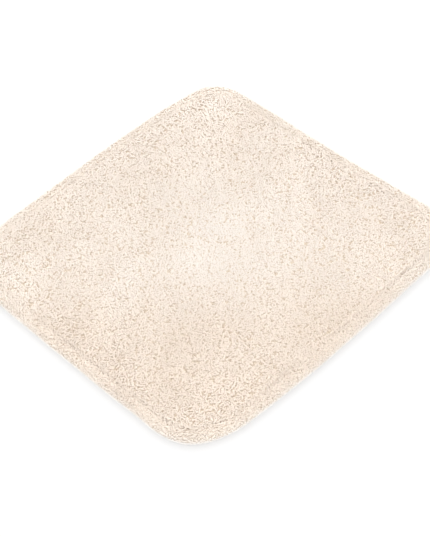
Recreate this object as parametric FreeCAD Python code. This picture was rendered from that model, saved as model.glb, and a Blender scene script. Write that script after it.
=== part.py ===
"""Square tufted bath mat with rounded corners, a hemmed rolled rim and a rubber film on its back.

Frame: millimetres, +Z up. The origin is on the floor under the middle of the mat, and X and Y run
along its sides. Every ring-shaped piece is drawn as a section in (inset, z), where inset is the
distance inward from the mat's outermost edge, and is then carried round the rounded square.
"""
import FreeCAD, Part
import os
from math import cos, pi, sin, sqrt

from FreeCAD import Vector

os.makedirs("parts", exist_ok=True)

# ---- driving dimensions -------------------------------------------------------------------
side = 600.0                # outside length of each side, over the pile
corner_radius = 100.0       # outside radius of the four corners
height = 18.0               # floor to the top of the pile

cloth = 1.0                 # thickness of the woven backing cloth
fold_gap = 0.4              # space left inside the turned hem
fold_inset = 14.0           # centre of the cloth's turned edge, in from the outside of the rim
hem_turn = 14.0             # width of the cloth that is turned under
seam_inset = 22.0           # line of the hem seam
channel = 3.0               # width of the furrow that the seam pulls in the pile

rim_height = 16.5           # floor to the top of the rolled rim
rim_radius = 9.0            # round of the rim's outer side
rim_inner_round = 6.5       # round of the rim on the furrow's side
field_round = 7.0           # round of the inner pile on the furrow's side

thread = 0.3                # thickness of the sewing threads
thread_line = 0.6           # width of a line of hem stitches
overlock_bite = 4.0         # how far the overlock stitches reach in from the cut edge

latex_skin = 1.6            # rubber film under the pile yarn's back stitches
stitch_rib = 0.6            # height of the pile yarn's back stitches
stitch_width = 2.0          # width of one row of back stitches
stitch_gauge = 4.0          # distance between rows, the tufting machine's needle gauge
latex_clearance = 1.0       # rubber film to the hem's cut edge
row_margin = 6.0            # ends of the back stitch rows to the edge of the rubber film

label_width = 30.0          # care label, along the side
label_length = 40.0         # care label, in from the hem seam
label_ply = 0.2             # thickness of the folded label's tape
label_lift = 0.1            # floor to the label's underside
label_play = 0.5            # room round the label in the rubber film

# ---- derived sizes ------------------------------------------------------------------------
half = side / 2
corner_centre = half - corner_radius
cloth_low = thread + 2 * label_ply + label_lift         # underside of the turned hem
fold_low = cloth_low + cloth                            # upper face of the turned hem
cloth_under = fold_low + fold_gap                       # underside of the mat's main cloth
cloth_top = cloth_under + cloth
fold_centre_z = (cloth_low + cloth_top) / 2
fold_outer = (cloth_top - cloth_low) / 2
fold_inner = fold_gap / 2
cut_edge = fold_inset + hem_turn                        # inset of the hem's cut edge
latex_inset = cut_edge + thread + latex_clearance
furrow_out = seam_inset - channel / 2
furrow_in = seam_inset + channel / 2


def at(inset, z):
    """Point of a section: x is the distance out from a corner's centre."""
    return Vector(corner_radius - inset, 0, z)


def line(a, b):
    return Part.makeLine(a, b)


def arc(a, middle, b):
    return Part.Arc(a, middle, b).toShape()


def polygon(points):
    """Section with straight edges."""
    return Part.Face(Part.makePolygon(points + points[:1]))


def carry_round(section):
    """Carry a section once round the rounded square: four turned corners and four straight sides."""
    corner = section.copy().revolve(Vector(0, 0, 0), Vector(0, 0, 1), 90)
    corner.translate(Vector(corner_centre, corner_centre, 0))
    straight = section.copy()
    straight.rotate(Vector(0, 0, 0), Vector(0, 0, 1), 90)
    straight.translate(Vector(corner_centre, corner_centre, 0))
    straight = straight.extrude(Vector(-2 * corner_centre, 0, 0))
    lengths = []
    for quarter in range(4):
        for piece in (corner, straight):
            turned = piece.copy()
            turned.rotate(Vector(0, 0, 0), Vector(0, 0, 1), 90 * quarter)
            lengths.append(turned)
    return lengths[0].multiFuse(lengths[1:]).removeSplitter()


def plate(inset, low, high):
    """Flat rounded square, held in from the mat's outside edge by inset."""
    reach = half - inset
    radius = corner_radius - inset
    block = Part.makeBox(2 * reach, 2 * reach, high - low, Vector(-reach, -reach, low))
    upright = [e for e in block.Edges if abs(e.BoundBox.ZLength - (high - low)) < 1e-6]
    return block.makeFillet(radius, upright)


def pile_field():
    """Pile inside the hem seam: a slab whose upper edge rolls down into the furrow."""
    slab = plate(furrow_in, cloth_top, height)
    upper = [e for e in slab.Edges if e.BoundBox.ZMin > height - 1e-6]
    return slab.makeFillet(field_round, upper)


def pile_rim():
    """Pile that wraps the turned edge of the cloth, from the furrow over the edge to the floor."""
    middle = rim_height - rim_radius
    meets_floor = rim_radius - sqrt(rim_radius**2 - middle**2)
    shoulder = furrow_out - rim_inner_round
    low = rim_height - rim_inner_round
    edges = [
        line(at(furrow_out, cloth_top), at(furrow_out, low)),
        arc(at(furrow_out, low),
            at(shoulder + rim_inner_round * cos(pi / 4), low + rim_inner_round * sin(pi / 4)),
            at(shoulder, rim_height)),
        line(at(shoulder, rim_height), at(rim_radius, rim_height)),
        arc(at(rim_radius, rim_height), at(0, middle), at(meets_floor, 0)),
        line(at(meets_floor, 0), at(fold_inset, 0)),
        line(at(fold_inset, 0), at(fold_inset, cloth_low)),
        arc(at(fold_inset, cloth_low), at(fold_inset - fold_outer, fold_centre_z),
            at(fold_inset, cloth_top)),
        line(at(fold_inset, cloth_top), at(furrow_out, cloth_top)),
    ]
    return carry_round(Part.Face(Part.Wire(edges)))


def primary_backing():
    """Woven cloth that holds the tufts, with its edge turned under all round as a hem."""
    edges = [
        arc(at(fold_inset, cloth_top), at(fold_inset - fold_outer, fold_centre_z),
            at(fold_inset, cloth_low)),
        line(at(fold_inset, cloth_low), at(cut_edge, cloth_low)),
        line(at(cut_edge, cloth_low), at(cut_edge, fold_low)),
        line(at(cut_edge, fold_low), at(fold_inset, fold_low)),
        arc(at(fold_inset, fold_low), at(fold_inset - fold_inner, fold_centre_z),
            at(fold_inset, cloth_under)),
        line(at(fold_inset, cloth_under), at(fold_inset, cloth_top)),
    ]
    hem = carry_round(Part.Face(Part.Wire(edges)))
    return plate(fold_inset, cloth_under, cloth_top).fuse(hem).removeSplitter()


def back_stitches():
    """Rows of the pile yarn's stitches under the cloth, one straight run for each needle."""
    reach = half - latex_inset - row_margin
    radius = corner_radius - latex_inset - row_margin
    straight = reach - radius
    count = int(2 * reach / stitch_gauge)
    rows = []
    for number in range(count):
        x = (number - (count - 1) / 2) * stitch_gauge
        past = max(0.0, abs(x) + stitch_width / 2 - straight)
        end = straight + sqrt(radius**2 - past**2)
        rows.append(Part.makeBox(stitch_width, 2 * end, stitch_rib,
                                 Vector(x - stitch_width / 2, -end, latex_skin)))
    return Part.makeCompound(rows)


def care_label():
    """Blank folded tape, caught in the hem seam at the middle of the far side."""
    return Part.makeBox(label_width, label_length, 2 * label_ply,
                        Vector(-label_width / 2, half - seam_inset - label_length, label_lift))


def latex_coat(rows):
    """Non-slip rubber film: it grips the back stitches and is pressed in where the label lies."""
    depth = label_lift + 2 * label_ply + label_play
    pocket = Part.makeBox(label_width + 2 * label_play, label_length, depth,
                          Vector(-label_width / 2 - label_play,
                                 half - seam_inset - label_length - label_play, 0))
    return plate(latex_inset, 0, cloth_under).cut([pocket] + rows.Solids)


def overlock_thread():
    """Overlock stitches round the hem's cut edge, as one band of their outer size."""
    reach_in = cut_edge - overlock_bite
    outer = [(reach_in, cloth_low - thread), (cut_edge + thread, cloth_low - thread),
             (cut_edge + thread, fold_low + thread), (reach_in, fold_low + thread)]
    inner = [(reach_in, fold_low), (cut_edge, fold_low), (cut_edge, cloth_low),
             (reach_in, cloth_low)]
    return carry_round(polygon([at(*point) for point in outer + inner]))


def seam_line(low, high):
    """One line of hem stitches, as a flat band of their outer size."""
    inner, outer = seam_inset + thread_line / 2, seam_inset - thread_line / 2
    return carry_round(polygon([at(inner, low), at(outer, low), at(outer, high), at(inner, high)]))


rows = back_stitches()
nodes = {
    "pile_field": pile_field(),
    "pile_rim": pile_rim(),
    "primary_backing": primary_backing(),
    "back_stitches": rows,
    "latex_coat": latex_coat(rows),
    "overlock_thread": overlock_thread(),
    "hem_needle_thread": seam_line(cloth_top, cloth_top + thread),
    "hem_bobbin_thread": seam_line(cloth_low - thread, cloth_low),
    "care_label": care_label(),
}
for name, shape in nodes.items():
    box = shape.BoundBox
    print(f"{name}: valid {shape.isValid()}, solids {len(shape.Solids)}, "
          f"{shape.Volume / 1000:.1f} cm3, z {box.ZMin:.2f} to {box.ZMax:.2f}, "
          f"x {box.XMin:.1f} to {box.XMax:.1f}")
    shape.exportStep(f"parts/{name}.step")
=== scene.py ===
# %% [markdown]
# # A square cream bath mat
#
# The real mat is a woven cloth with loops of soft cotton yarn stitched through it, thousands of
# them, so close that the cloth can't be seen. The cloth's edge is turned under and sewn down, which
# rolls the pile over into a rounded rim with a shallow furrow beside it. The back is coated with
# rubber so that the mat doesn't slide.
#
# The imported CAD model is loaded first. It fixes every size and place, and everything below is
# worked out from it, in metres.

# %% Load the frame
from math import cos, pi, radians, sin

import bpy
import numpy as np
from mathutils import Matrix, Vector


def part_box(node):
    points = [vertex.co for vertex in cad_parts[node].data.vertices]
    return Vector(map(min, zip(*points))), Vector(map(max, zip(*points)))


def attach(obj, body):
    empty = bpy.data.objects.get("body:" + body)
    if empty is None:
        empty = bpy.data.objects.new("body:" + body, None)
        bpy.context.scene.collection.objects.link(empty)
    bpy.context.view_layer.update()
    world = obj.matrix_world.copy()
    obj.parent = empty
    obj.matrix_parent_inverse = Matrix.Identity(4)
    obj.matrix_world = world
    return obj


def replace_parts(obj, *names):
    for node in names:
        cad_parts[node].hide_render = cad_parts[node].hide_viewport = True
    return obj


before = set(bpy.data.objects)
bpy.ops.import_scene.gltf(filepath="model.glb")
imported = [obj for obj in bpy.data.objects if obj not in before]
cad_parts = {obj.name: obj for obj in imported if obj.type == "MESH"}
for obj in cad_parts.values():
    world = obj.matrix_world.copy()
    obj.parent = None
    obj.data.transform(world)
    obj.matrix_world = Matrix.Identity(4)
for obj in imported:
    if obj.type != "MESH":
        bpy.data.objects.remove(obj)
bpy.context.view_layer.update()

# %% [markdown]
# ## Sizes that the pieces share
#
# A rounded square needs three numbers: half its side, the radius of its corners and how far in from
# the edge a line lies. The last is called *inset* below. Most sizes are read from the CAD nodes, and
# the few that no box shows are given here.

# %% Read the sizes
MM = 0.001
MIDDLE_OUT = 60 * MM            # insets beyond this one shrink the outline towards the middle

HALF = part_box("pile_rim")[1][0]
CORNER = HALF / 3
CLOTH_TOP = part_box("primary_backing")[1][2]
HEM_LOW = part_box("primary_backing")[0][2]
FOLD_INSET = 14 * MM            # where the cloth turns under
CUT_INSET = 28 * MM             # where the turned cloth ends
SEAM_INSET = 22 * MM            # the line of hem stitches
CLOTH = 1 * MM
THREAD = 0.3 * MM
THREAD_RADIUS = THREAD / 2 * 0.95      # just inside the CAD's own thread
PILE_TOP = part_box("pile_field")[1][2]
RIM_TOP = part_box("pile_rim")[1][2]
DISC_START = HALF - 6 * MM      # the inset where a disc's section starts, near the middle
print(f"half side {HALF / MM:.0f} mm, corner {CORNER / MM:.0f} mm, pile top {PILE_TOP / MM:.1f} mm")

# %% [markdown]
# ## The camera
#
# The mat is seen from above and to one side, corner first, with the camera tipped a little. The
# camera looks at a point beside the mat's middle. Its direction is an azimuth and an elevation, and
# the tip is a turn about the line of sight, so the whole view is four numbers and a lens.

# %% Make the camera
AZIMUTH, ELEVATION, TIP = radians(54.42), radians(47.24), radians(-10.48)
DISTANCE = 4.117 * 2 * HALF
AIM = Vector((0.0622, -0.0292, 0)) * 2 * HALF
LENS = 102.1

back = Vector((sin(AZIMUTH) * cos(ELEVATION), -cos(AZIMUTH) * cos(ELEVATION), sin(ELEVATION)))
level = Vector((cos(AZIMUTH), sin(AZIMUTH), 0))
right = cos(TIP) * level + sin(TIP) * back.cross(level)

camera = bpy.data.objects.new("camera", bpy.data.cameras.new("camera"))
camera.data.lens = LENS
camera.matrix_world = Matrix.Translation(AIM + back * DISTANCE) @ Matrix(
    (right, back.cross(right), back)).transposed().to_4x4()
bpy.context.collection.objects.link(camera)
bpy.context.scene.camera = camera
print("camera at", [round(v, 3) for v in camera.matrix_world.translation])

# %% [markdown]
# ## Writing materials as sums
#
# A material in Blender is a net of nodes. Joining them one by one hides what they work out, so two
# small classes do it here. `Value` holds one output socket, and adding or multiplying it adds a
# Math node. `Finish` holds a material and makes any other node, settings first and then sockets.

# %% A value that can be added and multiplied
class Value:
    """One number, colour or vector that flows through a material."""

    def __init__(self, finish, socket):
        self.finish, self.socket = finish, socket

    def _sum(self, operation, first, second):
        return self.finish.node("ShaderNodeMath", {"operation": operation}, {0: first, 1: second})

    def __add__(self, other):
        return self._sum("ADD", self, other)

    def __sub__(self, other):
        return self._sum("SUBTRACT", self, other)

    def __rsub__(self, other):
        return self._sum("SUBTRACT", other, self)

    def __mul__(self, other):
        return self._sum("MULTIPLY", self, other)

    def sine(self):
        return self._sum("SINE", self, 0.0)

    def held(self):
        """The number, kept between 0 and 1."""
        return self.finish.node("ShaderNodeClamp", {}, {"Value": self})

    __radd__, __rmul__ = __add__, __mul__


# %% A material under construction
class Finish:
    """A material under construction, with helpers for the nodes that it is made of."""

    def __init__(self, name):
        self.material = bpy.data.materials.new(name)
        self.material.use_nodes = True
        self.tree = self.material.node_tree
        self.tree.nodes.clear()

    def node(self, kind, settings=None, sockets=None, out=0):
        """Add a node of this type, give it its settings, then feed its sockets."""
        made = self.tree.nodes.new(kind)
        for name, setting in (settings or {}).items():
            setattr(made, name, setting)
        for name, value in (sockets or {}).items():
            if isinstance(value, Value):
                self.tree.links.new(value.socket, made.inputs[name])
            else:
                made.inputs[name].default_value = value
        return Value(self, made.outputs[out] if made.outputs else None)

    def place(self):
        """Where a point is on the mat, in metres."""
        return self.node("ShaderNodeTexCoord", out="Object")

    def axis(self, vector, number):
        """One of the three numbers of a place."""
        return self.node("ShaderNodeSeparateXYZ", {}, {0: vector}, out=number)

    def carried(self, attribute):
        """A number that the mesh carries at each of its points."""
        return self.node("ShaderNodeAttribute", {"attribute_name": attribute}, out="Fac")

    def clouds(self, scale, detail=2.0):
        """Soft noise about 0.5, with this many patches to the metre."""
        return self.node("ShaderNodeTexNoise", {}, {"Vector": self.place(), "Scale": scale,
                                                    "Detail": detail})

    def mix(self, share, first, second):
        """The first colour where share is 0 and the second where it is 1."""
        return self.node("ShaderNodeMix", {"data_type": "RGBA"}, {0: share, 6: first, 7: second},
                         out=2)

    def bump(self, height, distance):
        """A surface that stands proud by distance, in metres, where height is 1."""
        return self.node("ShaderNodeBump", {}, {"Height": height, "Distance": distance})

    def done(self, **sockets):
        """Close the material with one Principled surface that has these sockets."""
        named = {name.replace("_", " "): value for name, value in sockets.items()}
        surface = self.node("ShaderNodeBsdfPrincipled", {}, named, out="BSDF")
        self.node("ShaderNodeOutputMaterial", {}, {"Surface": surface})
        return self.material


# %% [markdown]
# ## Cotton yarn
#
# Cotton yarn is matt and pale. Two plies twist round each other, short fibres stand off it, and
# light that falls between the loops turns warmer each time it bounces. A flat pattern of yarn could
# be wrapped round each loop, but it would blur, so the twist is worked out from the loop's own map:
# its first number runs along the yarn and its second once round it. Each loop also carries a number
# for its own shade, one for its height, because its yarn is painted darker and warmer towards the
# roots as painted shade deep between the loops, and one for its tone, which is partly painted light.

# %% The pile's finish
# Colours of a painted highlight on the outer side of the rim, where fibres catch the light.
HIGHLIGHT_TIPS, HIGHLIGHT_ROOTS = (1.0, 0.96, 0.92, 1), (0.88, 0.79, 0.68, 1)


def yarn_finish(name, roots, warm, pale, twists, fuzz):
    """Yarn from its roots' colour to its tips', which go from warm to pale with the loop's tone.
    The darker roots' colour is painted shade, for the dark deep between the loops.

    The share of the tips' colour is 3.6 rise + 0.25 shade + 0.25 fibres - 1, kept between 0 and 1.
    Tones past 1 give a painted highlight, paler still, on the outer side of the rim, where fibres
    catch the light.
    The twist is a sine of twists turns along the yarn plus two plies round it.
    """
    finish = Finish(name)
    way = finish.node("ShaderNodeUVMap", {"uv_map": "yarn_way"})
    plies = (finish.axis(way, 0) * (twists * 2 * pi) + finish.axis(way, 1) * (4 * pi)).sine()
    fibres = finish.clouds(1400, 2.0)
    share = (finish.carried("rise") * 3.6 + finish.carried("shade") * 0.25 + fibres * 0.25
             - 1.0).held()
    tone = finish.carried("tone")
    flank_highlight = (tone - 1.0).held()
    tips = finish.mix(flank_highlight, finish.mix(tone.held(), warm, pale), HIGHLIGHT_TIPS)
    roots = finish.mix(flank_highlight, roots, HIGHLIGHT_ROOTS)
    height = plies * 0.5 + fibres * fuzz
    return finish.done(Base_Color=finish.mix(share, roots, tips), Roughness=0.95,
                       Specular_IOR_Level=0.1, Normal=finish.bump(height, 0.2 * MM))


# The roots' colour is painted shade: yarn deep between the loops is painted darker and warmer.
pile_yarn = yarn_finish("pile_yarn", roots=(0.59, 0.457, 0.335, 1), warm=(0.964, 0.855, 0.753, 1),
                        pale=(0.985, 0.913, 0.840, 1), twists=4, fuzz=1.0)


# %% [markdown]
# The bed under the loops is the same yarn, packed so close that only its roots show. It sees little
# light, so it is a shade deeper, and a coarser noise stands for the roots. The rim's bed is paler,
# because its loops spread and let more light in.

# %% The beds' finishes
def bed_finish(name, deep, light):
    """Packed roots of yarn, between a deep and a light colour, with a bump of the same noise."""
    finish = Finish(name)
    roots = finish.clouds(420, 2.0)
    return finish.done(Base_Color=finish.mix(roots, deep, light), Roughness=1.0,
                       Specular_IOR_Level=0.1, Normal=finish.bump(roots, 1.5 * MM))


pile_roots = bed_finish("pile_roots", (0.795, 0.668, 0.533, 1), (0.893, 0.79, 0.667, 1))
rim_roots = bed_finish("rim_roots", (0.88, 0.79, 0.68, 1), (0.95, 0.87, 0.785, 1))


# %% [markdown]
# ## Making a mesh from arrays
#
# A mesh is a list of points, and faces that name their points in order. With a million points a
# Python loop would take minutes, so numpy works out whole arrays, and `foreach_set` copies them into
# the mesh at once. Faces are given as one long list of corners, and a list of how many each has.

# %% Put arrays into a mesh
def put_mesh(name, points, corners, sizes, material, maps=None, carried=None):
    """A piece from its points, its faces' corners end to end, and each face's number of corners."""
    mesh = bpy.data.meshes.new(name)
    mesh.vertices.add(len(points))
    mesh.vertices.foreach_set("co", np.ascontiguousarray(points, np.float32).ravel())
    mesh.loops.add(len(corners))
    mesh.loops.foreach_set("vertex_index", np.ascontiguousarray(corners, np.int32))
    mesh.polygons.add(len(sizes))
    starts = np.concatenate([[0], np.cumsum(sizes)[:-1]])
    mesh.polygons.foreach_set("loop_start", np.ascontiguousarray(starts, np.int32))
    mesh.polygons.foreach_set("use_smooth", np.ones(len(sizes), bool))
    for map_name, places in (maps or {}).items():
        layer = mesh.uv_layers.new(name=map_name)
        layer.uv.foreach_set("vector", np.ascontiguousarray(places, np.float32).ravel())
    for number, values in (carried or {}).items():
        layer = mesh.attributes.new(number, "FLOAT", "POINT")
        layer.data.foreach_set("value", np.ascontiguousarray(values, np.float32))
    mesh.update(calc_edges=True)
    mesh.materials.append(material)
    piece = bpy.data.objects.new(name, mesh)
    bpy.context.collection.objects.link(piece)
    triangles = int((np.asarray(sizes) - 2).sum())
    print(f"{name}: {triangles} triangles, z {points[:, 2].min() / MM:.2f} to "
          f"{points[:, 2].max() / MM:.2f} mm")
    return piece


# %% [markdown]
# Layers and threads are grids of points: one number counts along and one counts across. A face joins
# four neighbours, and a grid that closes on itself starts again at 0. The same two numbers give the
# baking map. A long thin grid would waste it, so its length is cut into rows, one above the other.

# %% Faces and maps of a grid
def grid_faces(length, width, turned=False):
    """(faces, 4, 2): the two numbers of each corner of each face. turned faces look the other way."""
    along, across = np.meshgrid(np.arange(length), np.arange(width), indexing="ij")
    steps = np.array([[0, 0], [1, 0], [1, 1], [0, 1]])
    faces = np.stack([along.ravel(), across.ravel()], axis=1)[:, None] + steps
    return faces[:, ::-1] if turned else faces


def grid_points(faces, length, width):
    """Which point each corner is, in a grid of length by width points that may close on itself."""
    return (faces[..., 0] % length) * width + faces[..., 1] % width


def grid_map(faces, rows=1):
    """The baking map: along the grid is across the map, in this many rows."""
    per_row = faces[..., 0].max() / rows
    row = np.floor(faces[..., 0].min(axis=1) / np.ceil(per_row))[:, None]
    across = faces[..., 0] / np.ceil(per_row) - row
    up = 0.05 + 0.9 * faces[..., 1] / faces[..., 1].max()
    return np.stack([across, (row + up) / rows], axis=2).reshape(-1, 2)


# %% [markdown]
# Yarn and thread are tubes, and a tube needs a ring of directions round the way that it goes. These
# work on any number of vectors at once.

# %% Directions
def unit(vectors):
    """Each vector at a length of 1."""
    return vectors / np.linalg.norm(vectors, axis=-1, keepdims=True)


def square_to(axis, vectors):
    """What is left of each vector without its part along the axis, which has length 1."""
    return vectors - (vectors * axis).sum(-1, keepdims=True) * axis


def ring_round(forward, guide, sides):
    """Directions to the points of a ring round each forward, beginning on the side of guide."""
    first = unit(square_to(forward, guide))
    second = np.cross(forward, first)
    turn = np.arange(sides) * 2 * pi / sides
    return np.cos(turn)[:, None] * first[..., None, :] + np.sin(turn)[:, None] * second[..., None, :]


# %% [markdown]
# ## The rounded square
#
# Every edge, seam and layer of the mat follows the same rounded square at its own inset. One
# function gives a point on it for a fraction of the way round, and one goes the other way: it tells
# how far inside the edge any point lies. Deep inside, where corners of the right radius no longer
# fit, the outline only shrinks, down to a point in the middle, so a disc needs no other formula.

# %% Places on the outline
SIDE_RUN = 2 * (HALF - CORNER)
TURN_RUN = CORNER * pi / 2
ROUND = 4 * (SIDE_RUN + TURN_RUN)


def around(fraction, inset):
    """x, y and the outward direction, fraction of the way round the outline at this inset.

    Each quarter is a straight side and then a corner, an arc about the corner's centre. The
    quarters are turned by 90 degrees each.
    """
    quarter = np.asarray(fraction) % 1.0 * 4
    turns = np.floor(quarter)
    part = (quarter - turns) * (SIDE_RUN + TURN_RUN)
    angle = np.maximum(part - SIDE_RUN, 0) / CORNER
    kept = np.minimum(inset, MIDDLE_OUT)
    shrink = (HALF - inset) / (HALF - kept)
    x = (SIDE_RUN / 2 + (CORNER - kept) * np.cos(angle)) * shrink
    y = (np.minimum(part, SIDE_RUN) - SIDE_RUN / 2 + (CORNER - kept) * np.sin(angle)) * shrink
    c, s = np.round(np.cos(turns * pi / 2)), np.round(np.sin(turns * pi / 2))
    out_x, out_y = np.cos(angle), np.sin(angle)
    return x * c - y * s, x * s + y * c, out_x * c - out_y * s, out_x * s + out_y * c


def inset_of(x, y):
    """How far inside the edge a point is, and the direction outward to the nearest edge."""
    past_x, past_y = np.abs(x) - SIDE_RUN / 2, np.abs(y) - SIDE_RUN / 2
    in_corner = (past_x > 0) & (past_y > 0)
    reach = np.hypot(past_x, past_y)
    inset = CORNER - np.where(in_corner, reach, np.maximum(past_x, past_y))
    out_x = np.where(in_corner, past_x / reach, past_x >= past_y) * np.sign(x)
    out_y = np.where(in_corner, past_y / reach, past_x < past_y) * np.sign(y)
    return inset, out_x, out_y


# %% [markdown]
# ## A mat that lies like cloth
#
# No sewn mat is truly square. Its sides bow, its corners are pulled, and its edge and its surface
# waver a little. A few long waves, added up, give the wavering, and two short lists give the rest.
# Every piece goes through the same function at the end, so the layers stay together.

# %% Long soft waves
def waves(x, y, length, seed, count=6):
    """Sum of waves about this long, in random directions, from about -1 to 1."""
    rng = np.random.default_rng(seed)
    total = np.zeros(np.broadcast(x, y).shape)
    for way, stretch, phase in zip(rng.uniform(0, 2 * pi, count), rng.uniform(0.7, 1.5, count),
                                   rng.uniform(0, 2 * pi, count)):
        total += np.sin((x * cos(way) + y * sin(way)) * (2 * pi / (length * stretch)) + phase)
    return total * (1.4 / count)


BOWS = ((1, 0, 9), (-1, 0, 10), (0, 1, -3), (0, -1, 5))      # a side and its bow outward, in mm
PULLS = ((1, 1, 4, 6, 1), (-1, 1, -13, -2, 11), (-1, -1, 8, -5, 0), (1, -1, -9, 4, 4))


def settle(points):
    """Move points on the plan, as the cloth lies: bowed sides, pulled corners and a small stir.

    A bow is greatest at the middle of its side. PULLS has each corner, how many mm it is pulled
    outward along x and along y, and how many mm its arc is drawn out into a point, along x and y
    alike. Everything dies out towards the middle of the mat.
    """
    x, y, z = points.T
    inset = np.clip(inset_of(x, y)[0] / MIDDLE_OUT, 0, 1)
    stir = 1.2 * MM * (1 - 0.7 * inset)
    new_x, new_y = x + stir * waves(x, y, 150 * MM, 11), y + stir * waves(x, y, 150 * MM, 12)
    for side_x, side_y, outward in BOWS:
        near = np.clip((side_x * x + side_y * y) / HALF, 0, 1) ** 2
        bow = outward * MM * near * np.cos((side_y * x + side_x * y) * pi / (2 * HALF))
        new_x, new_y = new_x + side_x * bow, new_y + side_y * bow
    for side_x, side_y, pull_x, pull_y, point in PULLS:
        near = (np.clip(side_x * x / HALF, 0, 1) * np.clip(side_y * y / HALF, 0, 1)) ** 5
        past_x = np.maximum(side_x * x - SIDE_RUN / 2, 0)
        past_y = np.maximum(side_y * y - SIDE_RUN / 2, 0)
        reach = np.hypot(past_x, past_y) + 1e-9
        drawn = point * (2 * past_x * past_y / reach / CORNER) ** 2
        new_x = new_x + side_x * MM * (pull_x * near + drawn)
        new_y = new_y + side_y * MM * (pull_y * near + drawn)
    return np.stack([new_x, new_y, z], axis=1)


# %% [markdown]
# ## Loops of pile
#
# One loop of pile is an arch of yarn: both feet stand in the cloth and its top leans over. The
# loop's middle line is a half turn, wider in the middle than at the feet, so it bulges as soft yarn
# does. A ring of four points is carried along it, and smooth shading rounds it off. All loops of a
# piece are worked out in one go, because every one has the same number of rings, and only its size,
# turn and lean differ.

# %% Arches of yarn
RINGS, SIDES = 5, 4
PAST_FOOT = 0.13                # how far past each foot an arch runs, as a share of a half turn
FOOT_THIN = 0.6                 # the yarn's thickness at its feet, as a share


def arches(foot, out, way, span, rise, lean, curl, thick):
    """Points of many loops, as (loops, RINGS, SIDES, 3), and each point's height share.

    With t running from a little below 0 to a little past a half turn, the middle line is
    foot - way * span / 2 * cos(t) * (1 + 0.3 sin(t)) + out * rise * sin(t)
    + across * curl * sin(2t) + lean * sin(t) squared.
    """
    t = np.linspace(-PAST_FOOT, 1 + PAST_FOOT, RINGS) * pi
    across = np.cross(way, out)
    along = -span[:, None] / 2 * np.cos(t) * (1 + 0.3 * np.sin(t))
    high = rise[:, None] * np.sin(t)
    middle = (foot[:, None] + along[..., None] * way[:, None] + high[..., None] * out[:, None]
              + (curl[:, None] * np.sin(2 * t))[..., None] * across[:, None]
              + lean[:, None] * (np.maximum(np.sin(t), 0) ** 2)[:, None])
    ring = ring_round(unit(np.gradient(middle, axis=1)), across[:, None], SIDES)
    swell = np.where((np.arange(RINGS) % (RINGS - 1)) == 0, FOOT_THIN, 1.0)
    radius = (thick[:, None] * swell)[..., None, None]
    share = np.broadcast_to(np.maximum(np.sin(t), 0)[None, :, None], ring.shape[:3])
    return middle[:, :, None] + radius * ring, share


# %% [markdown]
# The faces of one loop are four-cornered, round its length and as a lid on each foot. The next loop
# has the same faces, counted on. Each loop also needs its own patch of the piece's baking map: the
# patches are cells of a square grid, with the yarn's length across, its girth up and its two lids
# above.

# %% Faces and maps of a loop
def loop_faces():
    """Corners and sizes of one loop's faces, and each corner's (length, girth) on the yarn."""
    ring, side = np.meshgrid(np.arange(RINGS - 1), np.arange(SIDES), indexing="ij")
    steps = np.array([[0, 0], [0, 1], [1, 1], [1, 0]])
    rings = ring.reshape(-1, 1) + steps[:, 0]
    sides = side.reshape(-1, 1) + steps[:, 1]
    walls = rings * SIDES + sides % SIDES
    lids = np.concatenate([np.arange(SIDES)[::-1], (RINGS - 1) * SIDES + np.arange(SIDES)])
    sizes = np.array([4] * len(walls) + [SIDES] * 2)
    along = np.stack([rings / (RINGS - 1), sides / SIDES], axis=2).reshape(-1, 2)
    return np.concatenate([walls.ravel(), lids]), sizes, along


def loop_piece(name, points, share, shade, tone, material):
    """One piece of many loops, with its maps and the numbers that its finish reads.

    A loop's cell of the baking map has the wall in its lower three quarters, and the two lids side
    by side above it.
    """
    count = len(points)
    corners, sizes, along = loop_faces()
    per_loop = RINGS * SIDES
    all_corners = (np.arange(count)[:, None] * per_loop + corners).ravel()
    turn = np.arange(SIDES) * 2 * pi / SIDES
    lid = np.stack([np.cos(turn), np.sin(turn)], axis=1) * 0.09
    patch = np.concatenate([along * (0.92, 0.72) + (0.04, 0.04),
                            lid[::-1] + (0.3, 0.88), lid + (0.7, 0.88)])
    cells = int(np.ceil(np.sqrt(count)))
    cell = np.stack(np.divmod(np.arange(count), cells), axis=1)
    bake = (cell[:, None] + patch) / cells
    way = np.tile(np.concatenate([along, lid[::-1], lid]), (count, 1))
    flat = points.reshape(-1, 3)
    return put_mesh(name, flat, all_corners, np.tile(sizes, count), material,
                    maps={"OFBake": bake.reshape(-1, 2), "yarn_way": way},
                    carried={"rise": share.ravel(), "shade": np.repeat(shade, per_loop),
                             "tone": np.repeat(tone, per_loop)})


# %% [markdown]
# ## Where the loops stand
#
# A tufting machine has a row of needles, a few millimetres apart, and each sews one straight row of
# loops. The rows soon hide: every loop twists its own way as the yarn relaxes. Inside the seam the
# loops stand on a bed that rolls down into the furrow. On the rim the bed is an oval ring, and the
# loops fan out from it all the way to the floor. Each function gives both the places and which way
# is out.

# %% The beds that loops stand on
GAUGE, STITCH = 3.2 * MM, 3.0 * MM       # between two rows of needles, and along a row
RIM_STITCH = 2.55 * MM
STRAY = 0.9 * MM                # how far a foot may be from its place in the row
UPRIGHT = 1.5                   # how strongly the loops beside the furrow straighten up
BED_TOP = 13.9 * MM
SHOULDER_HIGH = 10.5 * MM
# An oval is the inset and the height of its middle, and its two radii, level and upright.
SHOULDER = (27.2 * MM, SHOULDER_HIGH, 4.7 * MM, BED_TOP - SHOULDER_HIGH)
ROLL = (11.5 * MM, 7.4 * MM, 10.9 * MM, 7.3 * MM)


def oval(shape, angle):
    """Inset and height on an oval section, and the outward direction as (outward, up).

    Angle 0 faces the mat's edge and a quarter turn faces up.
    """
    inset, height, wide, tall = shape
    slope = unit(np.stack([np.cos(angle) / wide, np.sin(angle) / tall], axis=-1))
    return inset - wide * np.cos(angle), height + tall * np.sin(angle), slope[..., 0], slope[..., 1]


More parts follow.
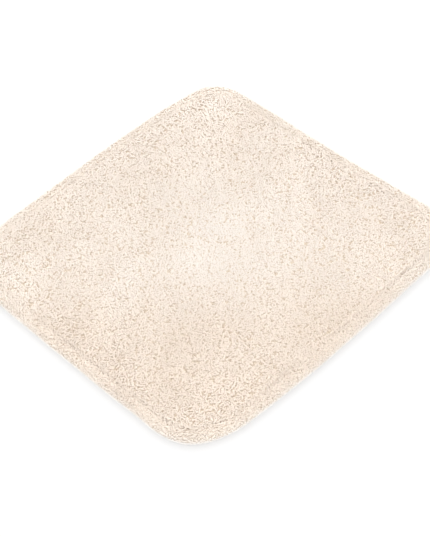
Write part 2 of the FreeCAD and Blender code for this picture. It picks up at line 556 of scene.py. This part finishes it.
def even_angles(shape, first, last, spacing):
    """Angles on an oval, in radians, this far apart along its edge. first and last in degrees."""
    fine = np.radians(np.linspace(first, last, 400))
    inset, height, _, _ = oval(shape, fine)
    run = np.concatenate([[0], np.cumsum(np.hypot(np.diff(inset), np.diff(height)))])
    return np.interp(np.linspace(0, run[-1], int(run[-1] / spacing) + 1), run, fine)


def directions(outward, upward, out_x, out_y):
    """Unit vectors from how far they point out of the edge and how far up."""
    return unit(np.stack([outward * out_x, outward * out_y, upward], axis=1))


def field_places(rng):
    """Feet of the loops inside the seam, in rows, their outward directions and their rows."""
    reach = HALF - SHOULDER[0] + SHOULDER[2]
    rows = np.arange(-reach + GAUGE / 2, reach, GAUGE)
    stitches = np.arange(-reach + STITCH / 2, reach, STITCH)
    x, y = np.meshgrid(rows, stitches, indexing="ij")
    row = np.broadcast_to(np.arange(len(rows))[:, None], x.shape)
    y = y + (row % 2) * STITCH / 2
    x, y, row = x.ravel(), y.ravel(), row.ravel()
    x = x + rng.uniform(-1, 1, x.shape) * STRAY
    y = y + rng.uniform(-1, 1, x.shape) * STRAY
    inset, out_x, out_y = inset_of(x, y)
    inside = inset > HALF - reach
    x, y, row, inset, out_x, out_y = (a[inside] for a in (x, y, row, inset, out_x, out_y))
    angle = np.arccos(np.clip((SHOULDER[0] - inset) / SHOULDER[2], 0, 1))
    _, z, outward, upward = oval(SHOULDER, angle)
    return np.stack([x, y, z], axis=1), directions(outward, upward + UPRIGHT, out_x, out_y), row


def rim_places(rng):
    """Feet of the rim's loops, in rings along the edge from the floor over the top to the seam.

    On the side of the seam they stand nearly upright, and on the outer side they fan out.
    """
    feet, outs = [], []
    for angle in even_angles(ROLL, -58, 166, RIM_STITCH):
        count = int(ROUND / RIM_STITCH)
        fraction = (np.arange(count) + rng.uniform(-0.25, 0.25, count) + rng.random()) / count
        inset, z, outward, upward = oval(ROLL, angle + rng.uniform(-0.2, 0.2, count))
        x, y, out_x, out_y = around(fraction, inset)
        upward = np.maximum(upward, -0.2) + UPRIGHT * (outward < 0)
        feet.append(np.stack([x, y, z], axis=1))
        outs.append(directions(outward, upward, out_x, out_y))
    return np.concatenate(feet), np.concatenate(outs)


# %% Loops from their places
PALEST_X, PALEST_Y, PALEST_WIDE = 14 * MM, 28 * MM, 105 * MM       # the palest place and its spread
WARM_FROM, WARM_OVER = 50 * MM, 150 * MM     # where it turns warm, on the way to the near corner
FURROW_WIDE = 3.0 * MM          # from the seam to where the furrow is down to a third of its dip
PIT_DEEP = 4.0 * MM             # how much shorter a short loop is
LOWEST = 0.35 * MM              # no yarn goes lower than this


def tone_and_painted_light(x, y):
    """How pale the pile is, about 0 to 1: palest a little off the middle, warm at the near corner.
    It is partly painted light, a middle painted paler as if lit brighter, and partly the pile's own
    tone.

    The pale place is a bell curve, and the warmth sets in as the smooth step 3 n^2 - 2 n^3.
    """
    middle = np.exp(-((x - PALEST_X) ** 2 + (y - PALEST_Y) ** 2) / (2 * PALEST_WIDE**2))
    near = np.clip(((x - y) / 2**0.5 - WARM_FROM) / WARM_OVER, 0, 1)
    return 0.5 + 0.5 * middle - 0.5 * near * near * (3 - 2 * near) + 0.12 * waves(x, y, 130 * MM, 31)


def lean_of(x, y, out, rng):
    """How far each loop's top leans: with its neighbours, by long waves, and a little by itself."""
    drift = waves(x, y, 160 * MM, 21) * pi
    push = (0.6 + 0.5 * waves(x, y, 110 * MM, 22)) * MM
    lean = np.stack([push * np.cos(drift), push * np.sin(drift), np.zeros(len(x))], axis=1)
    lean += rng.normal(scale=0.5 * MM, size=lean.shape) * (1, 1, 0.3)
    return square_to(out, lean)


def rise_of(feet, out, top, tone, furrow, outer, rng):
    """How far each loop stands out of its foot.

    Inside the rim's ridge it reaches the height top, less a dip in the furrow, and on the outer
    side it is low. Some loops are short and leave a pit, more of them where the pile is warm.
    """
    x, y, z = feet.T
    dip = (0.6 + 0.5 * waves(x, y, 180 * MM, 24)) * MM
    rise = np.where(outer, (1.6 + 1.2 * out[:, 2]) * MM, (top - dip * furrow - z) / out[:, 2])
    rise += rng.normal(0, 0.15 * MM, len(z)) + 0.4 * MM * waves(x, y, 90 * MM, 23)
    pits = (0.19 - 0.1 * tone - 0.04 * np.clip((x - y) / HALF, -0.2, 1)) * (1 - 0.7 * furrow)
    return rise - PIT_DEEP * (out[:, 2] > 0.6) * (rng.random(len(z)) < pits)


def grow(feet, out, top, size, rng):
    """Loops on these feet, each across a random way: points, height shares, shades and tones.

    The furrow is painted a little warmer and deeper, as painted shade in its hollow. Loops on the
    outer side of the rim are painted paler the more they face outward, a painted highlight where
    their fibres catch the light. Yarn that would go through the floor is pressed flat on it, by an
    exponential that meets the straight part smoothly 1 mm higher.
    """
    count = len(feet)
    x, y, _ = feet.T
    inset = inset_of(x, y)[0]
    furrow = np.exp(-((inset - SEAM_INSET) / FURROW_WIDE) ** 2)
    outer = inset < ROLL[0]
    # The furrow's warmer, deeper tone is painted shade in its hollow.
    tone = tone_and_painted_light(x, y) - 0.25 * furrow
    way = unit(square_to(out, rng.normal(size=(count, 3))))
    lean = lean_of(x, y, out, rng)
    span = size * rng.uniform(1.9, 3.3, count) * MM
    rise = rise_of(feet, out, top, tone, furrow, outer, rng)
    curl = rng.uniform(-0.45, 0.45, count) * MM
    thick = size * rng.uniform(1.05, 1.3, count) * MM
    points, share = arches(feet, out, way, span, rise, lean, curl, thick)
    z = points[..., 2]
    points[..., 2] = np.where(z < LOWEST + MM, LOWEST + MM * np.exp((z - LOWEST - MM) / MM), z)
    flat = settle(points.reshape(-1, 3))
    # Tones past 1 on the rim's outer side are a painted highlight.
    return flat.reshape(points.shape), share, rng.random(count), tone + 1.6 * outer * (1 - out[:, 2])


# %% [markdown]
# The loops are too many for one mesh, so each piece takes every ninth row of needles, as if the
# yarn came off that many cones. The rim has three pieces.

# %% Grow the pile
CONES, RIM_CONES = 9, 3
rng = np.random.default_rng(5)

feet, out, row = field_places(rng)
points, *numbers = grow(feet, out, PILE_TOP - 1.4 * MM, 1.0, rng)
pile = []
for cone in range(CONES):
    mine = row % CONES == cone
    piece = loop_piece(f"pile_yarn_{cone + 1}", points[mine], *(n[mine] for n in numbers), pile_yarn)
    pile.append(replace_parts(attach(piece, "root"), "pile_field"))

feet, out = rim_places(rng)
points, *numbers = grow(feet, out, RIM_TOP - 0.3 * MM, 0.84, rng)
for cone in range(RIM_CONES):
    mine = np.arange(len(feet)) % RIM_CONES == cone
    piece = loop_piece(f"rim_yarn_{cone + 1}", points[mine], *(n[mine] for n in numbers), pile_yarn)
    pile.append(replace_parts(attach(piece, "root"), "pile_rim"))


# %% [markdown]
# ## Layers carried round the outline
#
# The bed, the cloth and its hem are all one section carried round the rounded square. A section that
# closes on itself makes a ring. One that starts and ends in the middle makes a disc, with one point
# at its middle above and one below.

# %% Carry a section round
STATIONS = 288


def carried_round(insets, heights, lift=None):
    """Points of a section (insets, heights) carried round, as (STATIONS, its points, 3).

    The section is in order with the solid on its left when outward is right and up is up. lift
    gives what is added to each height, and is a function of x, y and z.
    """
    x, y, _, _ = around((np.arange(STATIONS) / STATIONS)[:, None], np.asarray(insets, float)[None])
    z = np.broadcast_to(heights, x.shape)
    return np.stack([x, y, z + lift(x, y, z) if lift else z], axis=2)


def ring_piece(name, insets, heights, material):
    """A ring with a closed section."""
    points = carried_round(insets, heights)
    faces = grid_faces(STATIONS, len(insets))
    corners = grid_points(faces, STATIONS, len(insets))
    return put_mesh(name, settle(points.reshape(-1, 3)), corners.ravel(), np.full(len(faces), 4),
                    material, maps={"OFBake": grid_map(faces)})


def disc_piece(name, insets, heights, material, lift=None):
    """A disc: its section starts in the middle below and ends in the middle above.

    A fan of triangles closes it there, below and above, on the baking map's two long edges.
    """
    points = carried_round(insets, heights, lift)
    across = len(insets)
    every = np.concatenate([points.reshape(-1, 3), [points[:, 0].mean(0), points[:, -1].mean(0)]])
    below, over = np.full(STATIONS, len(every) - 2), np.full(STATIONS, len(every) - 1)
    here = np.arange(STATIONS)
    there = (here + 1) % STATIONS
    fans = np.array([[there * across, here * across, below],
                     [(here + 1) * across - 1, (there + 1) * across - 1, over]])
    fan_across = np.array([[here + 1, here, here + 0.5], [here, here + 1, here + 0.5]]) / STATIONS
    fan_up = np.array([[0.05, 0.05, 0], [0.95, 0.95, 1]])[..., None]
    fan_map = np.stack(np.broadcast_arrays(fan_across, fan_up), axis=3).transpose(0, 2, 1, 3)
    faces = grid_faces(STATIONS, across - 1)
    corners = np.concatenate([grid_points(faces, STATIONS, across).ravel(),
                              fans.transpose(0, 2, 1).ravel()])
    return put_mesh(name, settle(every), corners,
                    np.concatenate([np.full(len(faces), 4), np.full(2 * STATIONS, 3)]), material,
                    maps={"OFBake": np.concatenate([grid_map(faces), fan_map.reshape(-1, 2)])})


# %% Beds of the pile
def bed_sections():
    """Sections of the two beds: the field's disc, and the rim's ring that hugs the turned cloth."""
    gap = 0.06 * MM
    climb = np.radians(np.linspace(-40, 90, 12))
    inset, height, _, _ = oval(SHOULDER, climb)
    inwards = np.linspace(SHOULDER[0] + 8 * MM, DISC_START, 26)
    below = np.linspace(DISC_START, inset[0] + 1.5 * MM, 8)
    field = (np.concatenate([below, inset, inwards]),
             np.concatenate([np.full(len(below), CLOTH_TOP + gap), height,
                             np.full(len(inwards), BED_TOP)]))
    roll = np.radians(np.linspace(-72, 222, 24))
    rim_inset, rim_height, _, _ = oval(ROLL, roll)
    middle, radius = (CLOTH_TOP + HEM_LOW) / 2, (CLOTH_TOP - HEM_LOW) / 2 + gap
    fold = np.radians(np.linspace(90, -40, 8))
    rim = (np.concatenate([rim_inset, FOLD_INSET - radius * np.cos(fold)]),
           np.concatenate([rim_height, middle + radius * np.sin(fold)]))
    return field, rim


def heave(x, y, z):
    """How far the bed's top is lifted, for shallower gaps in the middle and at the near corner."""
    thick = np.clip((z - CLOTH_TOP) / (BED_TOP - CLOTH_TOP), 0, 1)
    return MM * thick * (0.5 * tone_and_painted_light(x, y) - 0.25 + (0.45 * x - 0.25 * y) / (2 * HALF))


field_section, rim_section = bed_sections()
field_bed = disc_piece("pile_bed", *field_section, pile_roots, heave)
rim_bed = ring_piece("rim_bed", *rim_section, rim_roots)
for piece, node in ((field_bed, "pile_field"), (rim_bed, "pile_rim")):
    pile.append(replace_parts(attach(piece, "root"), node))


# %% [markdown]
# ## The cloth and its hem
#
# The cloth is plain weave: warp and weft pass over and under each other, so its height is one sine
# times another. At the corners the hem has more cloth than it needs, and it puckers into short
# folds, which a lift that runs round the corner gives.

# %% The woven cloth
WEAVE = 1.5 * MM                # from one crossing of threads to the next but one


def weave_finish():
    """Plain weave: 0.5 + 0.5 sin(weft) sin(warp), with soft slubs where a thread is thicker."""
    finish = Finish("backing_cloth")
    place = finish.place()
    threads = 2 * pi / WEAVE
    weft = (finish.axis(place, 0) * threads).sine()
    warp = (finish.axis(place, 1) * threads).sine()
    weave = weft * warp * 0.5 + 0.5
    slubs = finish.clouds(60, 3.0)
    share = (weave * 0.5 + slubs * 0.6).held()
    return finish.done(Base_Color=finish.mix(share, (0.46, 0.37, 0.26, 1), (0.60, 0.51, 0.39, 1)),
                       Roughness=0.95, Specular_IOR_Level=0.15, Sheen_Weight=0.1,
                       Normal=finish.bump(weave + slubs * 0.5, 0.2 * MM))


def hem_section():
    """Section of the cloth: under the middle, out to the fold, round it, and back on top."""
    middle = (CLOTH_TOP + HEM_LOW) / 2
    outer, inner = (CLOTH_TOP - HEM_LOW) / 2, (CLOTH_TOP - HEM_LOW) / 2 - CLOTH
    inside = np.radians(np.linspace(90, -90, 7))
    outside = inside[::-1]
    under = np.linspace(DISC_START, CUT_INSET + 20 * MM, 14)
    hem = np.linspace(FOLD_INSET + 1.5 * MM, CUT_INSET, 7)
    parts = [
        (under, CLOTH_TOP - CLOTH), (CUT_INSET, CLOTH_TOP - CLOTH),
        (FOLD_INSET - inner * np.cos(inside), middle + inner * np.sin(inside)),
        (hem, HEM_LOW + CLOTH), (hem[::-1], HEM_LOW),
        (FOLD_INSET - outer * np.cos(outside), middle + outer * np.sin(outside)),
        (CUT_INSET, CLOTH_TOP), (under[::-1], CLOTH_TOP),
    ]
    insets = np.concatenate([np.atleast_1d(inset) for inset, _ in parts])
    heights = np.concatenate([np.broadcast_to(height, np.shape(np.atleast_1d(inset)))
                              for inset, height in parts])
    return insets, heights


PUCKER, PUCKERS = 0.17 * MM, 64         # how high a fold is, and how many would go all the way round


def pucker(x, y, z):
    """Short folds in the turned hem where it goes round a corner."""
    inset, out_x, out_y = inset_of(x, y)
    turned = np.clip((inset - FOLD_INSET) / (CUT_INSET - FOLD_INSET), 0, 1) * (inset <= CUT_INSET)
    in_hem = (z < HEM_LOW + CLOTH + 0.01 * MM) & (z > HEM_LOW - 0.01 * MM)
    corner = np.clip(4 * np.abs(out_x * out_y), 0, 1)
    return PUCKER * np.sin(np.arctan2(out_y, out_x) * PUCKERS) * corner * turned * in_hem


cloth = disc_piece("woven_backing", *hem_section(), weave_finish(), pucker)
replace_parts(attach(cloth, "root"), "primary_backing")


# %% [markdown]
# ## The rubber film
#
# Liquid latex is spread on the back and dries to a film. It shows the rows of back stitches as
# ribs. The film is made in columns, one strip across the mat for each, because the ribs run that
# way and every column can end at the rounded corner. The back stitches themselves stay as the CAD
# has them, inside the film, and take the colour of the yarn's roots.

# %% The rubber film
RIB, BACK_STITCH = 4 * MM, 9.6 * MM      # between two ribs, and along one from dip to dip
RIB_DEEP = 0.5 * MM
FILM_EDGE = 6 * MM              # the film is flat at its edge, and the ribs set in over this width
LABEL_ROOM = 2 * MM             # the hollow for the label is wider than it by this much


def film_finish():
    """Dull rubber with fine pores, and wide clouds where it was spread thicker."""
    finish = Finish("rubber_film")
    pores = finish.clouds(900, 3.0)
    spread = finish.clouds(9, 3.0)
    share = (pores * 0.4 + spread * 0.8).held()
    return finish.done(Base_Color=finish.mix(share, (0.49, 0.44, 0.35, 1), (0.60, 0.55, 0.46, 1)),
                       Roughness=pores * 0.2 + 0.5, Specular_IOR_Level=0.35,
                       Normal=finish.bump(pores * 0.6 + spread, 0.15 * MM))


def film_hollow(x, y, to_edge):
    """How far the film's lower face is pressed in. to_edge falls to 0 at the edge.

    The ribs are the crests of a cosine, and between them the face is RIB_DEEP higher. Every stitch
    makes a small dip along its rib, and the label lies in a hollow of its own.
    """
    label_low, label_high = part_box("care_label")
    rib = 0.5 + 0.5 * np.cos(2 * pi * (x / RIB - 0.5))
    stitch = 0.5 + 0.5 * np.cos(2 * pi * y / BACK_STITCH)
    hollow = RIB_DEEP * (1 - rib * (0.75 + 0.25 * stitch)) * to_edge
    across = np.clip((label_high[0] + LABEL_ROOM - np.abs(x)) / MM, 0, 1)
    along = np.clip((y - label_low[1] + LABEL_ROOM) / MM, 0, 1)
    return np.maximum(hollow, (label_high[2] + 0.3 * MM) * across * along)


def film_piece():
    """The film: at each column x, along one strip below and back along one above."""
    low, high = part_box("latex_coat")
    reach = high[0]
    radius = CORNER - (HALF - reach)
    count = int(round(2 * reach / RIB)) * 4 + 1
    x = np.linspace(-reach, reach, count)
    past = np.maximum(np.abs(x) - (reach - radius), 0)
    end = reach - radius + np.sqrt(np.maximum(radius**2 - past**2, 0))
    lower = np.linspace(-1, 1, 111)
    upper = np.linspace(1, -1, 9)
    y = end[:, None] * np.concatenate([lower, upper])
    columns = np.broadcast_to(x[:, None], y.shape)
    to_edge = np.clip((reach - np.abs(columns)) / FILM_EDGE, 0, 1)
    to_edge *= np.clip((end[:, None] - np.abs(y)) / FILM_EDGE, 0, 1)
    hollow = film_hollow(columns, y, to_edge)
    z = np.where(np.arange(y.shape[1]) < len(lower), low[2] + hollow, high[2])
    points = np.stack([columns, y, z], axis=2).reshape(-1, 3)
    ring = y.shape[1]
    faces = grid_faces(count - 1, ring, turned=True)
    lids = np.concatenate([np.arange(ring)[::-1], (count - 1) * ring + np.arange(ring)])
    lid_y = (points[lids, 1] / (2 * high[1]) + 0.5)
    lid_z = points[lids, 2] / high[2] * 0.03 + np.repeat((0.01, 0.96), ring)
    corners = np.concatenate([grid_points(faces, count, ring).ravel(), lids])
    bake = np.concatenate([grid_map(faces), np.stack([lid_y, lid_z], axis=1)])
    return put_mesh("latex_film", settle(points), corners,
                    np.concatenate([np.full(len(faces), 4), np.full(2, ring)]), film_finish(),
                    maps={"OFBake": bake})


film = film_piece()
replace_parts(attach(film, "root"), "latex_coat")
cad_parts["back_stitches"].material_slots[0].material = pile_roots


# %% [markdown]
# ## Sewing threads
#
# Every thread is a thin tube carried along a path. A lockstitch's thread lies on the cloth for one
# stitch and dips into it between stitches. The overlock goes round and round the cut edge, so its
# path is a coil with a flat section.

# %% Tubes along a closed path
HEM_STITCH, OVERLOCK_STITCH = 4 * MM, 3 * MM
THREAD_SIDES = 4
THREAD_ROWS = 60                # rows in the baking map of a thread
STITCH_DIP = 0.4 * MM           # how deep a hem stitch dips into the cloth
HALF_BITE = 2.1 * MM            # half the width of cloth that the overlock goes round


def thread_finish():
    """Spun thread, between a dark and a light shade by fine noise along its strands."""
    finish = Finish("sewing_thread")
    strand = finish.clouds(1500, 2.0)
    return finish.done(Base_Color=finish.mix(strand, (0.56, 0.47, 0.37, 1), (0.70, 0.62, 0.52, 1)),
                       Roughness=0.8, Specular_IOR_Level=0.25, Sheen_Weight=0.2,
                       Normal=finish.bump(strand, 0.08 * MM))


sewing_thread = thread_finish()


def tube_piece(name, path):
    """A closed tube of thread, with a ring of points square to the path at each of its points."""
    forward = unit(np.roll(path, -1, axis=0) - np.roll(path, 1, axis=0))
    steep = np.abs(forward[:, 2:]) >= 0.7
    guide = np.where(steep, path * (1, 1, 0), (0.0, 0.0, 1.0))
    ring = ring_round(forward, guide, THREAD_SIDES)
    points = (path[:, None] + THREAD_RADIUS * ring).reshape(-1, 3)
    faces = grid_faces(len(path), THREAD_SIDES, turned=True)
    corners = grid_points(faces, len(path), THREAD_SIDES).ravel()
    return put_mesh(name, settle(points), corners, np.full(len(faces), 4), sewing_thread,
                    maps={"OFBake": grid_map(faces, THREAD_ROWS)})


def seam_piece(name, height, dip):
    """One thread of the hem seam: it lies at height and dips by dip between stitches."""
    stitches = int(ROUND / HEM_STITCH)
    steps = 8
    fraction = np.arange(stitches * steps) / (stitches * steps)
    x, y, _, _ = around(fraction, SEAM_INSET)
    z = height + dip * np.cos(fraction * stitches * 2 * pi) ** 8
    return tube_piece(name, np.stack([x, y, z], axis=1))


def overlock_piece():
    """The overlock: a coil round the cut edge, flat above and below it."""
    turns = int(ROUND / OVERLOCK_STITCH)
    steps = 10
    fraction = np.arange(turns * steps) / (turns * steps)
    angle = fraction * turns * 2 * pi
    wide = np.sign(np.cos(angle)) * np.abs(np.cos(angle)) ** 0.6 * HALF_BITE
    tall = np.sign(np.sin(angle)) * np.abs(np.sin(angle)) ** 0.35 * (CLOTH + THREAD) / 2
    x, y, _, _ = around(fraction, CUT_INSET - HALF_BITE + THREAD / 2 + wide)
    z = HEM_LOW + CLOTH / 2 + tall
    return tube_piece("overlock_stitches", np.stack([x, y, z], axis=1))


needle = seam_piece("needle_stitches", CLOTH_TOP + THREAD / 2, -STITCH_DIP)
bobbin = seam_piece("bobbin_stitches", HEM_LOW - THREAD / 2, STITCH_DIP)
overlock = overlock_piece()
for piece, node in ((needle, "hem_needle_thread"), (bobbin, "hem_bobbin_thread"),
                    (overlock, "overlock_thread")):
    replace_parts(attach(piece, "root"), node)


# %% [markdown]
# ## The care label
#
# A strip of satin tape is folded in half and caught in the hem. It is blank. Satin has long floats
# that all run one way, so its bump is fine lines along the tape.

# %% The label
LABEL_STEPS = 12                # faces across the tape, and points along each of its straight runs


def label_finish():
    """Satin tape: lines half a millimetre apart, and a little unevenness in its white."""
    finish = Finish("label_tape")
    floats = (finish.axis(finish.place(), 0) * (2 * pi / (0.5 * MM))).sine()
    dirt = finish.clouds(150, 2.0)
    return finish.done(Base_Color=finish.mix(dirt, (0.60, 0.585, 0.56, 1), (0.68, 0.67, 0.65, 1)),
                       Roughness=0.45, Specular_IOR_Level=0.5,
                       Normal=finish.bump(floats * 0.5 + dirt, 0.05 * MM))


def label_piece():
    """The folded tape: its section goes out below, round the fold, back above, and is doubled."""
    low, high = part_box("care_label")
    ply = (high[2] - low[2]) / 2 * 0.9
    middle = (low[2] + high[2]) / 2
    inner = (high[2] - low[2]) / 2 - ply
    outer = inner + ply
    fold_y = low[1] + outer
    run = np.linspace(high[1], fold_y, LABEL_STEPS)
    bend = np.radians(np.linspace(-80, 80, 7))
    flat = np.ones(len(run))

    def face(reach):
        """y and z of one face of the tape, this far from the middle of the fold."""
        return (np.concatenate([run, fold_y - reach * np.cos(bend), run[::-1]]),
                middle + reach * np.concatenate([-flat, np.sin(bend), flat]))

    (outer_y, outer_z), (inner_y, inner_z) = face(outer), face(inner)
    y = np.concatenate([outer_y, inner_y[::-1]])
    z = np.concatenate([outer_z, inner_z[::-1]])
    x = np.linspace(low[0], high[0], LABEL_STEPS + 1)
    points = np.stack(np.broadcast_arrays(x[:, None], y, z), axis=2).reshape(-1, 3)
    ring = len(y)
    faces = grid_faces(LABEL_STEPS, ring)
    step = np.arange(ring // 2 - 1)
    edge = np.stack([step, step + 1, ring - 2 - step, ring - 1 - step], axis=1)
    edge_map = np.stack([step, step + 1, step + 1, step], axis=1) / len(step)
    edge_up = np.broadcast_to((0.01, 0.01, 0.04, 0.04), edge.shape)
    near = np.stack([edge_map, edge_up], axis=2)
    far = np.stack([edge_map, edge_up + 0.95], axis=2)[:, ::-1]
    corners = np.concatenate([grid_points(faces, LABEL_STEPS + 1, ring), edge,
                              edge[:, ::-1] + LABEL_STEPS * ring])
    bake = np.concatenate([grid_map(faces), near.reshape(-1, 2), far.reshape(-1, 2)])
    return put_mesh("folded_label", settle(points), corners.ravel(), np.full(len(corners), 4),
                    label_finish(), maps={"OFBake": bake})


label = label_piece()
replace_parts(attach(label, "root"), "care_label")


# %% [markdown]
# ## The cut cloth
#
# The backing and the label are sheets that were cut flat, and everything else is sewn or glued to
# the backing. The backing's cut size counts the turned hem twice, and is worked out here and printed.

HEM_BEND = pi * (CLOTH_TOP - HEM_LOW - CLOTH) / 2
CUT_SIDE = 2 * (HALF - FOLD_INSET + HEM_BEND + CUT_INSET - FOLD_INSET)
CUT_CORNER = CORNER - FOLD_INSET + HEM_BEND + CUT_INSET - FOLD_INSET
CUT_SIDE**2 - (4 - pi) * CUT_CORNER**2
pile + [film, needle, bobbin, overlock]
print(f"cloth cut {CUT_SIDE / MM:.0f} mm square")


# %% [markdown]
# ## Floor and light
#
# The mat lies on a white floor in a white room. The floor is a lit panel, so the mat's shadow on it
# is faint. Nearly all the light is soft and comes from all round, so the loops shade only each
# other, and one large lamp above adds a little from one side.

# %% Floor, sky and lamp
FLOOR_GAP = 0.3 * MM            # the floor lies this far below the mat
FLOOR_GLOW = 0.505
ROOM_LIGHT = 1.465
LAMP_WATTS = 8


def floor_finish():
    """A grey that glows: together with the room's light on it, it comes out white."""
    finish = Finish("white_floor")
    return finish.done(Base_Color=(0.365, 0.36, 0.355, 1), Roughness=0.9, Specular_IOR_Level=0.1,
                       Emission_Color=(1.0, 1.0, 1.0, 1), Emission_Strength=FLOOR_GLOW)


bpy.ops.mesh.primitive_plane_add(size=30, location=(0, 0, -FLOOR_GAP))
floor = bpy.context.object
floor.name = "floor"
floor.data.materials.append(floor_finish())

world = bpy.data.worlds.new("white_room")
world.use_nodes = True
sky = world.node_tree.nodes["Background"]
sky.inputs["Color"].default_value = (0.97, 0.985, 1.0, 1)
sky.inputs["Strength"].default_value = ROOM_LIGHT
bpy.context.scene.world = world

lamp = bpy.data.objects.new("soft_lamp", bpy.data.lights.new("soft_lamp", "AREA"))
lamp.data.shape = "DISK"
lamp.data.size = 1.6
lamp.data.energy = LAMP_WATTS
lamp.location = (-0.9, 1.1, 2.4)
lamp.rotation_euler = Vector(lamp.location).to_track_quat("Z", "Y").to_euler()
bpy.context.collection.objects.link(lamp)
bpy.context.scene.view_settings.view_transform = "Standard"
